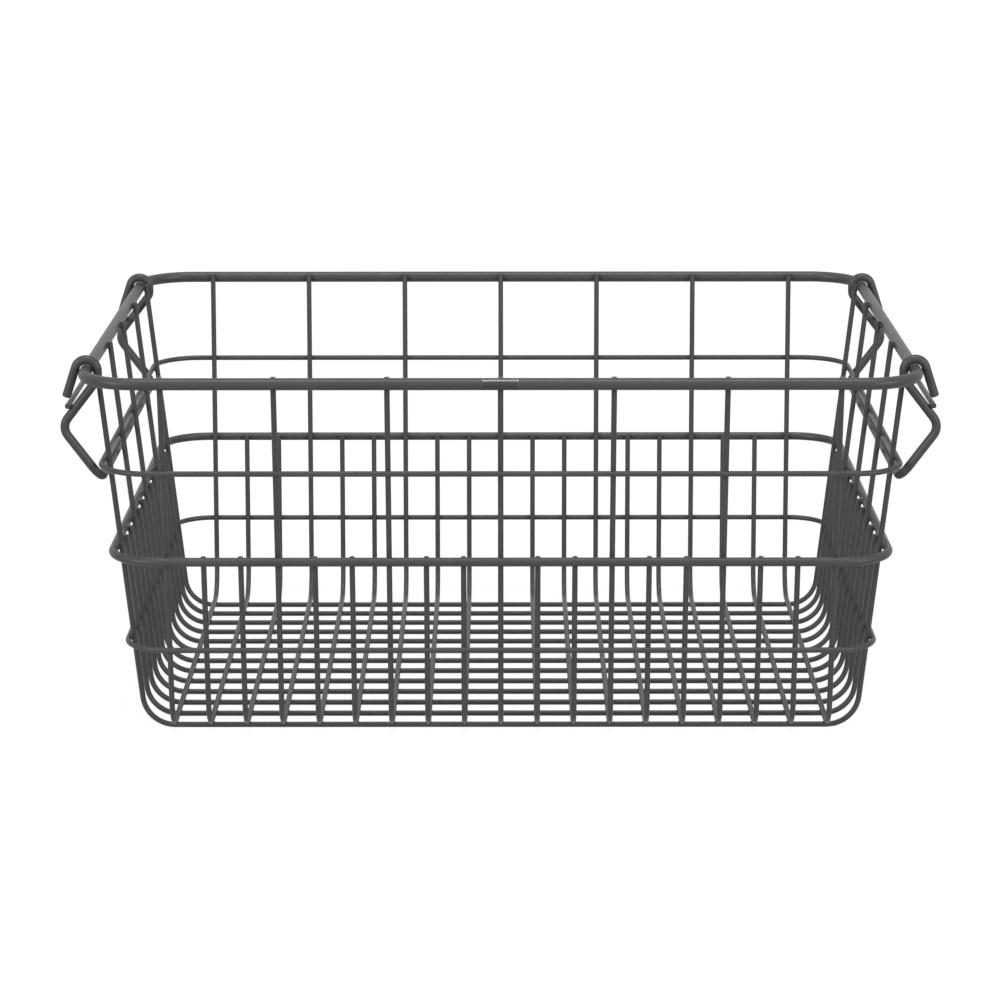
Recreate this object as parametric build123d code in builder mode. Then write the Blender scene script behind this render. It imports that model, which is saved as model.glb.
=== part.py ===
from build123d import *
import os
from math import asin, atan, atan2, cos, degrees, hypot, radians, sin, tan

os.makedirs("parts", exist_ok=True)

# A coated steel wire basket with a swinging bail at each end.
# Millimetres, +Z up, X along the basket, the front at -Y.
# The origin is on the ground under the middle of the basket.

# Wire diameters, over the coating
thin_wire = 2.8
ring_wire = 2.8
middle_ring_wire = 4.5
rim_wire = 6.0
bail_wire = 4.5
stay_wire = 2.8

# The grid of thin wires has the same spacing both ways
wire_pitch = 18.5
cross_spaces = 18
long_spaces = 12
tall_step = 3
floor_bend = 16.4
bend_start = 0.25
lean_share = 0.105

# Heights of the four rings' centre lines, and their corner radii
rim_height = 188.0
upper_ring_height = 141.5
middle_ring_height = 95.5
lower_ring_height = 48.0
rim_corner = 27.0
ring_corner = 25.0

# Fits and small edges
weld_gap = 0.05
tip_drop = 0.4
tip_round_share = 0.35
hook_clearance = 0.3
grip_clearance = 0.8

# The bails: depths are taken from the axis of the rim's side bar
hook_gap = 2.4
hook_drop = 2.4
leg_angle = 18.5
leg_gap = 2.2
elbow_reach = 13.5
elbow_depth = 28.7
elbow_bend = 7.5
grip_depth = 55.0
grip_bend = 7.5

# The stay bar across each bail
stay_rise = 11.3
stay_overhang = 1.3

# The clear film on the front of the rim: angles up from the horizontal
film_width = 17.5
film_thickness = 0.1
film_gap = 0.02
film_top_angle = 78.0
film_wrap = 130.0

# The last wires of the grid, and the walls at ground level
last_cross_x = cross_spaces / 2 * wire_pitch
last_long_y = long_spaces / 2 * wire_pitch
lean_angle = degrees(atan(lean_share))
wall_margin = bend_start + floor_bend * tan(radians(90 - lean_angle) / 2)


# Centre lines of the walls, which lean outwards from the floor to the rim
def wall_x(height):
    return last_cross_x + wall_margin + lean_share * height


def wall_y(height):
    return last_long_y + wall_margin + lean_share * height


# From a wall's centre line to that of a level wire on its outer side
def wall_step(diameter, gap=weld_gap):
    return ((thin_wire + diameter) / 2 + gap) / cos(radians(lean_angle))


def export(builder, name):
    builder.part.label = name
    export_step(builder.part, f"parts/{name}.step")


# A closed ring whose corners start outside the last wires
def make_ring(name, height, diameter, corner):
    half_x = wall_x(height) + wall_step(diameter)
    half_y = wall_y(height) + wall_step(diameter)
    corners = [(half_x, -half_y), (half_x, half_y), (-half_x, half_y), (-half_x, -half_y)]
    free_side = half_y - last_long_y - thin_wire / 2
    with BuildPart() as ring:
        with BuildLine(Plane.XY.offset(height)) as path:
            FilletPolyline(*corners, radius=min(corner, free_side), close=True)
        with BuildSketch(Plane(path.line @ 0, z_dir=path.line % 0)):
            Circle(diameter / 2)
        sweep()
    export(ring, name)


make_ring("rim", rim_height, rim_wire, rim_corner)
make_ring("upper_ring", upper_ring_height, ring_wire, ring_corner)
make_ring("middle_ring", middle_ring_height, middle_ring_wire, ring_corner)
make_ring("lower_ring", lower_ring_height, ring_wire, ring_corner)


# A thin wire that runs up one wall, along the floor and up the other wall
def make_u_wire(name, plane, wall, floor_height, tip_height):
    points = [
        (-wall(tip_height), tip_height),
        (-wall(floor_height), floor_height),
        (wall(floor_height), floor_height),
        (wall(tip_height), tip_height),
    ]
    with BuildPart() as wire:
        with BuildLine(plane) as path:
            FilletPolyline(*points, radius=floor_bend)
        with BuildSketch(Plane(path.line @ 0, z_dir=path.line % 0)):
            Circle(thin_wire / 2)
        sweep()
        tips = wire.faces().filter_by(GeomType.PLANE)
        fillet(tips.edges(), tip_round_share * thin_wire / 2)
    export(wire, name)


# Every third wire ends just under the top of the rim, the others at the middle ring
tall_tip = rim_height + rim_wire / 2 - tip_drop
short_tip = middle_ring_height + middle_ring_wire / 2 - tip_drop


def make_grid_wire(kind, index, plane, wall, floor_height):
    tall_before = index // tall_step
    if index % tall_step == 0:
        name = f"tall_{kind}_wire_{tall_before + 1}"
        make_u_wire(name, plane, wall, floor_height, tall_tip)
    else:
        name = f"short_{kind}_wire_{index - tall_before}"
        make_u_wire(name, plane, wall, floor_height, short_tip)


# Lengthwise wires stand on the ground, counted from the front
lengthwise_height = thin_wire / 2
for index in range(long_spaces + 1):
    y = index * wire_pitch - last_long_y
    make_grid_wire("lengthwise", index, Plane.XZ.offset(-y), wall_x, lengthwise_height)

# Crosswise wires lie on top of them, counted from the left
crosswise_height = lengthwise_height + thin_wire + weld_gap
for index in range(cross_spaces + 1):
    x = index * wire_pitch - last_cross_x
    make_grid_wire("crosswise", index, Plane.YZ.offset(x), wall_y, crosswise_height)

# The right bail hangs on the side bar of the rim, outside the end wall
rim_x = wall_x(rim_height) + wall_step(rim_wire)
hook_y = last_long_y + (thin_wire + bail_wire) / 2 + hook_gap
hook_radius = (rim_wire + bail_wire) / 2 + hook_clearance
grip_height = rim_height - grip_depth
grip_x = wall_x(grip_height) + wall_step(bail_wire, grip_clearance)


# A unit step in the plane of a hook, at an angle outwards from straight down
def step(angle):
    return Vector(sin(radians(angle)), 0, -cos(radians(angle)))


# The upper arm touches the lower arc of its hook and runs out to the elbow
elbow_below_arc = elbow_depth - hook_drop
arm_angle = degrees(
    atan2(elbow_reach, elbow_below_arc)
    + asin(hook_radius / hypot(elbow_reach, elbow_below_arc))
)
hook_centre = Vector(rim_x, -hook_y, rim_height)
elbow = Vector(rim_x + elbow_reach, -hook_y, rim_height - elbow_depth)
grip_corner = Vector(grip_x, -hook_y, grip_height)
grip_middle = Vector(grip_x, 0, grip_height)

# The stay bar lies on the outer side of the upper arms, and closes the hooks
stay_offset = (bail_wire + stay_wire) / 2 + weld_gap
stay_centre = elbow - step(arm_angle) * stay_rise + step(arm_angle + 90) * stay_offset
stay_half_length = hook_y + bail_wire / 2 + stay_overhang

# The free leg of the hook ends a little short of the stay bar
leg_top = hook_centre + step(leg_angle + 90) * hook_radius
leg_length = (stay_centre - leg_top).dot(step(leg_angle)) - stay_wire / 2 - leg_gap
leg_end = leg_top + step(leg_angle) * leg_length

with BuildPart() as right_bail:
    with BuildLine(Plane.XZ.offset(hook_y)):
        leg = Line(leg_end, leg_top)
        over_rim = JernArc(leg @ 1, leg % 1, hook_radius, 180 - leg_angle)
        inner_side = Line(over_rim @ 1, over_rim @ 1 + step(0) * hook_drop)
        under_rim = JernArc(inner_side @ 1, inner_side % 1, hook_radius, arm_angle)
        bends = [elbow_bend, grip_bend]
        FilletPolyline(under_rim @ 1, elbow, grip_corner, grip_middle, radius=bends)
    with BuildSketch(Plane(leg @ 0, z_dir=leg % 0)):
        Circle(bail_wire / 2)
    sweep()
    leg_tips = right_bail.faces().filter_by(GeomType.PLANE).sort_by(Axis.Y)[0]
    fillet(leg_tips.edges(), tip_round_share * bail_wire / 2)
    mirror(about=Plane.XZ)
export(right_bail, "right_bail")

with BuildPart() as right_stay_bar:
    with BuildSketch(Plane.XZ):
        with Locations((stay_centre.X, stay_centre.Z)):
            Circle(stay_wire / 2)
    extrude(amount=stay_half_length, both=True)
    bar_tips = right_stay_bar.faces().filter_by(GeomType.PLANE)
    fillet(bar_tips.edges(), tip_round_share * stay_wire / 2)
export(right_stay_bar, "right_stay_bar")

# The left bail is the right one's mirror image
with BuildPart() as left_bail:
    mirror(right_bail.part, about=Plane.YZ)
export(left_bail, "left_bail")

with BuildPart() as left_stay_bar:
    mirror(right_stay_bar.part, about=Plane.YZ)
export(left_stay_bar, "left_stay_bar")

# A clear film wraps the front of the rim and leaves its inner side to the wires
rim_front_y = -wall_y(rim_height) - wall_step(rim_wire)
film_radius = rim_wire / 2 + film_gap + film_thickness / 2

with BuildPart() as rim_label:
    with BuildSketch(Plane.YZ.offset(-film_width / 2)):
        with BuildLine():
            CenterArc((rim_front_y, rim_height), film_radius, 180 - film_top_angle, film_wrap)
        trace(line_width=film_thickness)
    extrude(amount=film_width)
export(rim_label, "rim_label")
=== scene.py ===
import bpy
import bmesh
import math
from mathutils import Matrix, Vector


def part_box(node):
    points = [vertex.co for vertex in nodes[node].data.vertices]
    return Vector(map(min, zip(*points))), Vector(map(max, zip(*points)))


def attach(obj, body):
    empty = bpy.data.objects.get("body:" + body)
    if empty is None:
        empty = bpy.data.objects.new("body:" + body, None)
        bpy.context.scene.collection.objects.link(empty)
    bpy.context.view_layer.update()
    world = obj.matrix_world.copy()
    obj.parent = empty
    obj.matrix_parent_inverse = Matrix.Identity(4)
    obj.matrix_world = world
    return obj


# Wire locker basket with a swinging bail at each end
# The wires come from the frame; the welds, the coat, the film's looks and the light are made here
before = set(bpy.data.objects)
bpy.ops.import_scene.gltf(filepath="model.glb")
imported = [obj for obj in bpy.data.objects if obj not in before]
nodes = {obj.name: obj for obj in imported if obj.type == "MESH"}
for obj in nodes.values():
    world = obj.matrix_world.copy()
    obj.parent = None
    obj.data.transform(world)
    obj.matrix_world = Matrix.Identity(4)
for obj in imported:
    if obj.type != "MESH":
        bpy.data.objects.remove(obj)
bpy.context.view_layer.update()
mm = 0.001
print("frame loaded:", len(nodes), "nodes")


def deselectAll():
    if bpy.context.object and bpy.context.object.mode != "OBJECT":
        bpy.ops.object.mode_set(mode="OBJECT")
    bpy.ops.object.select_all(action="DESELECT")


# What the frame says of the wires
def wireRadius(node):  # a level wire, ring or bar
    low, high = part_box(node)
    return (high.z - low.z) / 2


def nodeMiddle(node):
    low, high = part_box(node)
    return (low + high) / 2


lengthWires = sorted(n for n in nodes if "lengthwise" in n)
crossWires = sorted(n for n in nodes if "crosswise" in n)
lengthLow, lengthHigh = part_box(lengthWires[0])
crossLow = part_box(crossWires[0])[0]
thinRadius = (lengthHigh.y - lengthLow.y) / 2
floorWeldHeight = (thinRadius * 2 + crossLow.z) / 2  # half-way between the two layers
wireGap = crossLow.z - thinRadius * 2  # left between two welded wires


# The camera and the lights
cameraValues = {
    "place": (0.0006, -1.6205, 0.4997),  # metres
    "pitch": 14.118,  # degrees below level
    "turn": -0.036,
    "roll": -0.047,
    "lens": 111.24,
    "sensor": 36.0,
    "farEnd": 50.0,  # metres
}


def makeCamera(v=cameraValues):
    data = bpy.data.cameras.new("camera")
    data.lens = v["lens"]
    data.sensor_width = v["sensor"]
    data.clip_end = v["farEnd"]
    camera = bpy.data.objects.new("camera", data)
    bpy.context.scene.collection.objects.link(camera)
    aim = Matrix.Rotation(math.radians(-v["turn"]), 4, "Z")
    aim = aim @ Matrix.Rotation(math.radians(90 - v["pitch"]), 4, "X")
    aim = aim @ Matrix.Rotation(math.radians(v["roll"]), 4, "Z")
    camera.matrix_world = Matrix.Translation(Vector(v["place"])) @ aim
    bpy.context.scene.camera = camera


lightValues = {  # broad distant lamps: azimuth from the front, elevation, width, all in degrees
    "top": {"azimuth": 0, "elevation": 80, "width": 28, "strength": 2.5},
    "left": {"azimuth": -46, "elevation": 16, "width": 30, "strength": 2.1},
    "right": {"azimuth": 46, "elevation": 16, "width": 30, "strength": 2.1},
}


def makeLights(v=lightValues):
    for name, light in v.items():
        data = bpy.data.lights.new(name + "Light", "SUN")
        data.angle = math.radians(light["width"])
        data.energy = light["strength"]
        lamp = bpy.data.objects.new(name + "Light", data)
        bpy.context.scene.collection.objects.link(lamp)
        level = math.cos(math.radians(light["elevation"]))
        lamp.location = Vector((
            math.sin(math.radians(light["azimuth"])) * level,
            -math.cos(math.radians(light["azimuth"])) * level,
            math.sin(math.radians(light["elevation"])),
        ))
        lamp.rotation_euler = (-lamp.location).to_track_quat("-Z", "Y").to_euler()


# Node helpers
def addNode(tree, kind, **sockets):
    node = tree.nodes.new(kind)
    for name, value in sockets.items():
        node.inputs[name].default_value = value
    return node


def seenDirectly(tree):  # 1 for rays from the camera and for reflections and refractions
    path = tree.nodes.new("ShaderNodeLightPath")
    total = path.outputs["Is Camera Ray"]
    for name in ("Is Glossy Ray", "Is Transmission Ray"):
        most = tree.nodes.new("ShaderNodeMath")
        most.operation = "MAXIMUM"
        tree.links.new(total, most.inputs[0])
        tree.links.new(path.outputs[name], most.inputs[1])
        total = most.outputs[0]
    return total


worldValues = {"light": 0.28, "seen": 1.0}


def makeWorld(v=worldValues):
    world = bpy.data.worlds.new("studio")
    world.use_nodes = True
    tree = world.node_tree
    tree.nodes.clear()
    light = addNode(tree, "ShaderNodeBackground", Strength=v["light"], Color=(1, 1, 1, 1))
    seen = addNode(tree, "ShaderNodeBackground", Strength=v["seen"], Color=(1, 1, 1, 1))
    mix = tree.nodes.new("ShaderNodeMixShader")
    out = tree.nodes.new("ShaderNodeOutputWorld")
    tree.links.new(seenDirectly(tree), mix.inputs[0])
    tree.links.new(light.outputs[0], mix.inputs[1])
    tree.links.new(seen.outputs[0], mix.inputs[2])
    tree.links.new(mix.outputs[0], out.inputs[0])
    bpy.context.scene.world = world


def newMaterial(name):
    material = bpy.data.materials.new(name)
    material.use_nodes = True
    material.node_tree.nodes.clear()
    return material, material.node_tree


# The floor looks white, and the matt share of it keeps the basket's shadow
floorValues = {"size": 12.0, "colour": (0.5, 0.5, 0.5, 1.0), "whiteShare": 0.85, "white": 1.09}


def makeFloor(v=floorValues):
    deselectAll()
    bpy.ops.mesh.primitive_plane_add(size=v["size"], location=(0, 0, 0))
    floor = bpy.context.object
    floor.name = "studioFloor"
    material, tree = newMaterial("paleFloor")
    matt = addNode(tree, "ShaderNodeBsdfDiffuse", Color=v["colour"])
    white = addNode(tree, "ShaderNodeEmission", Color=(1, 1, 1, 1), Strength=v["white"])
    share = tree.nodes.new("ShaderNodeMath")
    share.operation = "MULTIPLY"
    share.inputs[1].default_value = v["whiteShare"]
    mix = tree.nodes.new("ShaderNodeMixShader")
    out = tree.nodes.new("ShaderNodeOutputMaterial")
    tree.links.new(seenDirectly(tree), share.inputs[0])
    tree.links.new(share.outputs[0], mix.inputs[0])
    tree.links.new(matt.outputs[0], mix.inputs[1])
    tree.links.new(white.outputs[0], mix.inputs[2])
    tree.links.new(mix.outputs[0], out.inputs[0])
    floor.data.materials.append(material)


def mapRange(tree, source, low, high, toLow, toHigh):
    node = tree.nodes.new("ShaderNodeMapRange")
    node.inputs["From Min"].default_value = low
    node.inputs["From Max"].default_value = high
    node.inputs["To Min"].default_value = toLow
    node.inputs["To Max"].default_value = toHigh
    tree.links.new(source, node.inputs["Value"])
    return node.outputs["Result"]


def mixColours(tree, factor, first, second):
    node = tree.nodes.new("ShaderNodeMix")
    node.data_type = "RGBA"
    node.inputs["A"].default_value = first
    node.inputs["B"].default_value = second
    tree.links.new(factor, node.inputs["Factor"])
    return node.outputs["Result"]


# Satin powder coat: broad tone, orange peel and a fine grain
coatValues = {
    "dark": (0.040, 0.040, 0.0405, 1.0),
    "light": (0.047, 0.047, 0.0475, 1.0),
    "toneScale": 30.0,
    "toneDetail": 3.0,
    "peelScale": 900.0,
    "peelDetail": 1.5,
    "peelHeight": 0.05 * mm,
    "grainScale": 4200.0,
    "grainDetail": 2.0,
    "grainHeight": 0.012 * mm,
    "noiseRoughness": 0.55,
    "noiseLow": 0.3,  # the part of the noise that is spread over the whole range
    "noiseHigh": 0.7,
    "smooth": 0.33,
    "rough": 0.41,
    "specular": 0.16,
}


def noise(tree, place, kind, v):
    node = addNode(tree, "ShaderNodeTexNoise", Scale=v[kind + "Scale"], Detail=v[kind + "Detail"])
    node.inputs["Roughness"].default_value = v["noiseRoughness"]
    tree.links.new(place, node.inputs["Vector"])
    return node.outputs["Fac"]


def bump(tree, height, distance, below=None):
    node = addNode(tree, "ShaderNodeBump", Strength=1.0, Distance=distance)
    tree.links.new(height, node.inputs["Height"])
    if below is not None:
        tree.links.new(below, node.inputs["Normal"])
    return node.outputs["Normal"]


def makeCoat(name, v=coatValues):
    material, tree = newMaterial(name)
    place = tree.nodes.new("ShaderNodeTexCoord").outputs["Object"]
    shader = addNode(tree, "ShaderNodeBsdfPrincipled")
    shader.inputs["Specular IOR Level"].default_value = v["specular"]
    out = tree.nodes.new("ShaderNodeOutputMaterial")
    grain = noise(tree, place, "grain", v)
    tone = noise(tree, place, "tone", v)
    broad = mapRange(tree, tone, v["noiseLow"], v["noiseHigh"], 0.0, 1.0)
    colour = mixColours(tree, broad, v["dark"], v["light"])
    tree.links.new(colour, shader.inputs["Base Color"])
    roughness = mapRange(tree, grain, v["noiseLow"], v["noiseHigh"], v["smooth"], v["rough"])
    tree.links.new(roughness, shader.inputs["Roughness"])
    peel = bump(tree, noise(tree, place, "peel", v), v["peelHeight"])
    tree.links.new(bump(tree, grain, v["grainHeight"], peel), shader.inputs["Normal"])
    tree.links.new(shader.outputs[0], out.inputs[0])
    return material


# Clear film on the rim
filmValues = {
    "gloss": 0.30,
    "specular": 1.0,
    "cover": 0.45,  # how much of the wire behind it the film hides
    "colour": (0.02, 0.02, 0.02, 1.0),
    "edgeHighlightColour": (0.10, 0.10, 0.10, 1.0),  # painted highlight: the cut ends are lighter where they would catch the light
    "edgeWidth": 0.5 * mm,
}


def makeFilm(v=filmValues):
    material, tree = newMaterial("clearFilm")
    place = tree.nodes.new("ShaderNodeTexCoord").outputs["Object"]
    shader = addNode(tree, "ShaderNodeBsdfPrincipled", Alpha=v["cover"], Roughness=v["gloss"])
    shader.inputs["Specular IOR Level"].default_value = v["specular"]
    out = tree.nodes.new("ShaderNodeOutputMaterial")
    apart = tree.nodes.new("ShaderNodeSeparateXYZ")
    tree.links.new(place, apart.inputs[0])
    aside = tree.nodes.new("ShaderNodeMath")
    aside.operation = "ABSOLUTE"
    tree.links.new(apart.outputs["X"], aside.inputs[0])
    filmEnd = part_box("rim_label")[1].x
    # painted highlight: the colour turns lighter over the last edgeWidth towards each cut end of
    # the film
    edgeHighlightMask = mapRange(tree, aside.outputs[0], filmEnd - v["edgeWidth"], filmEnd, 0.0, 1.0)
    colour = mixColours(tree, edgeHighlightMask, v["colour"], v["edgeHighlightColour"])
    tree.links.new(colour, shader.inputs["Base Color"])
    tree.links.new(shader.outputs[0], out.inputs[0])
    return material


def paint(piece, material):
    if piece.data.materials:
        for index in range(len(piece.data.materials)):
            piece.data.materials[index] = material
    else:
        piece.data.materials.append(material)


# Welds: the coat bridges each crossing in a small saddle
weldValues = {
    "sides": 12,
    "climb": 1.25 * mm,  # up the side of each wire, along its surface
    "spread": 0.75 * mm,  # out along each wire
    "sink": 0.06 * mm,  # into the wires
    "waist": 0.22,  # share of the spread left half-way
    "rise": 0.3,  # share of the height and depth half-way
}


def pickCorners(piece, reach, level, near):  # in edit mode, one vertex and its mirror images
    edited = bmesh.from_edit_mesh(piece.data)
    for vert in edited.verts:
        aside = Vector((abs(vert.co.x), abs(vert.co.y))) - reach
        vert.select_set(aside.length < near and abs(vert.co.z - level) < near)
    edited.select_flush_mode()
    bmesh.update_edit_mesh(piece.data)


def makeWeldBead(name, lower, upper, v=weldValues):
    # the lower wire runs along X, the upper along Y, and they touch at the origin
    lowWide = lower * math.sin(v["climb"] / lower)
    lowDeep = lower - lower * math.cos(v["climb"] / lower)
    topWide = upper * math.sin(v["climb"] / upper)
    topTall = upper - upper * math.cos(v["climb"] / upper)
    waist = v["spread"] * v["waist"]
    levels = [  # half width along X and Y, and height along X and Y
        (topWide + v["spread"], lowWide, -v["sink"], -lowDeep - v["sink"]),
        (topWide + waist, lowWide + waist, topTall * v["rise"], -lowDeep * v["rise"]),
        (topWide, lowWide + v["spread"], topTall + v["sink"], v["sink"]),
    ]
    blank = 1 * mm  # radius of the cylinder and half its height
    near = 0.1 * blank
    deselectAll()
    bpy.ops.mesh.primitive_cylinder_add(
        vertices=v["sides"], radius=blank, depth=2 * blank, end_fill_type="NGON"
    )
    bead = bpy.context.object
    bead.name = name
    bpy.ops.object.mode_set(mode="EDIT")
    bpy.ops.mesh.select_mode(type="VERT")
    bpy.ops.mesh.select_all(action="SELECT")
    bpy.ops.mesh.bisect(plane_co=(0, 0, 0), plane_no=(0, 0, 1))
    for step, (wideX, wideY, heightX, heightY) in enumerate(levels):
        level = (step - 1) * blank
        for part in range(v["sides"] // 4 + 1):
            turn = part * 2 * math.pi / v["sides"]
            pickCorners(bead, Vector((math.cos(turn), math.sin(turn))) * blank, level, near)
            lift = (heightX + heightY) / 2 + (heightX - heightY) / 2 * math.cos(2 * turn)
            bpy.ops.transform.resize(
                value=(wideX / blank, wideY / blank, 1), center_override=(0, 0, 0)
            )
            bpy.ops.transform.translate(value=(0, 0, lift - level))
    bpy.ops.mesh.select_all(action="SELECT")
    bpy.ops.mesh.normals_make_consistent(inside=False)
    bpy.ops.object.mode_set(mode="OBJECT")
    bpy.ops.object.shade_smooth()
    return bead


def joinCopies(name, bead, places):
    copies = []
    for place in places:
        copy = bead.copy()
        copy.data = bead.data.copy()
        copy.matrix_world = place
        bpy.context.scene.collection.objects.link(copy)
        copies.append(copy)
    bpy.data.objects.remove(bead)
    deselectAll()
    for copy in copies:
        copy.select_set(True)
    bpy.context.view_layer.objects.active = copies[0]
    bpy.ops.object.transform_apply(location=True, rotation=True, scale=True)
    bpy.ops.object.join()
    group = bpy.context.object
    group.name = name
    group.data.name = name
    return group


def standing(point, alongLower, alongUpper):  # the matrix of a bead at that crossing
    up = alongLower.cross(alongUpper).normalized()
    side = up.cross(alongLower).normalized()
    columns = Matrix((alongLower.normalized(), side, up)).transposed().to_4x4()
    return Matrix.Translation(point) @ columns


# Angles and sizes of the CAD part that its boxes don't give
basketValues = {
    "wallLean": 0.105,  # outwards, as a share of the height
    "bailWire": 4.5 * mm,
    "bailArm": 38.0,  # degrees from straight down to the upper arms, outwards
}


def ringCrossings(ring, v=basketValues):
    lean = math.atan(v["wallLean"])
    radius = wireRadius(ring)
    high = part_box(ring)[1]
    level = nodeMiddle(ring).z
    places = []
    for side in (-1, 1):
        for wire in lengthWires + crossWires:
            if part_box(wire)[1].z < level:
                continue
            if wire in lengthWires:
                outwards = Vector((side, 0, 0))
                point = Vector((side * (high.x - radius), nodeMiddle(wire).y, level))
            else:
                outwards = Vector((0, side, 0))
                point = Vector((nodeMiddle(wire).x, side * (high.y - radius), level))
            alongWire = outwards * math.sin(lean) + Vector((0, 0, math.cos(lean)))
            inwards = outwards * -math.cos(lean) + Vector((0, 0, math.sin(lean)))
            point += inwards * (radius + wireGap / 2)
            places.append(standing(point, alongWire.cross(inwards), alongWire))
    return places


def bailCrossings(bail, bar, side, v=basketValues):
    arm = math.radians(v["bailArm"])
    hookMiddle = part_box(bail)[1].y - v["bailWire"] / 2  # from the widest point less the wire
    centre = nodeMiddle(bar)
    inwards = Vector((-side * math.cos(arm), 0, -math.sin(arm)))
    alongArm = Vector((side * math.sin(arm), 0, -math.cos(arm)))
    places = []
    for end in (-1, 1):
        point = Vector((centre.x, end * hookMiddle, centre.z))
        point += inwards * (wireRadius(bar) + wireGap / 2)
        places.append(standing(point, alongArm, alongArm.cross(inwards)))
    return places


def makeWelds(v=basketValues):
    made = []
    bead = makeWeldBead("floorBead", thinRadius, thinRadius)
    places = []
    for along in lengthWires:
        for across in crossWires:
            point = Vector((nodeMiddle(across).x, nodeMiddle(along).y, floorWeldHeight))
            places.append(Matrix.Translation(point))
    made.append((joinCopies("floorWelds", bead, places), "basket", "thin_wire_coating"))
    for ring in ("rim", "upper_ring", "middle_ring", "lower_ring"):
        bead = makeWeldBead(ring + "Bead", wireRadius(ring), thinRadius)
        name = ring.replace("_ring", "Ring") + "Welds"
        made.append((joinCopies(name, bead, ringCrossings(ring)), "basket", "ring_coating"))
    for side, end in ((-1, "left"), (1, "right")):
        bail = end + "_bail"
        bar = end + "_stay_bar"
        bead = makeWeldBead("barBead", v["bailWire"] / 2, wireRadius(bar))
        places = bailCrossings(bail, bar, side)
        made.append((joinCopies(end + "BailWelds", bead, places), bail, "bail_coating"))
    return made


makeCamera()
makeLights()
makeWorld()
makeFloor()
print("studio ready")

coat = makeCoat("satinCoat")
film = makeFilm()
for name, node in nodes.items():
    paint(node, film if name == "rim_label" else coat)
print("wires coated")

for piece, body, slot in makeWelds():
    paint(piece, coat)
    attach(piece, body)
print("welds made")

bpy.context.scene.view_settings.view_transform = "Standard"
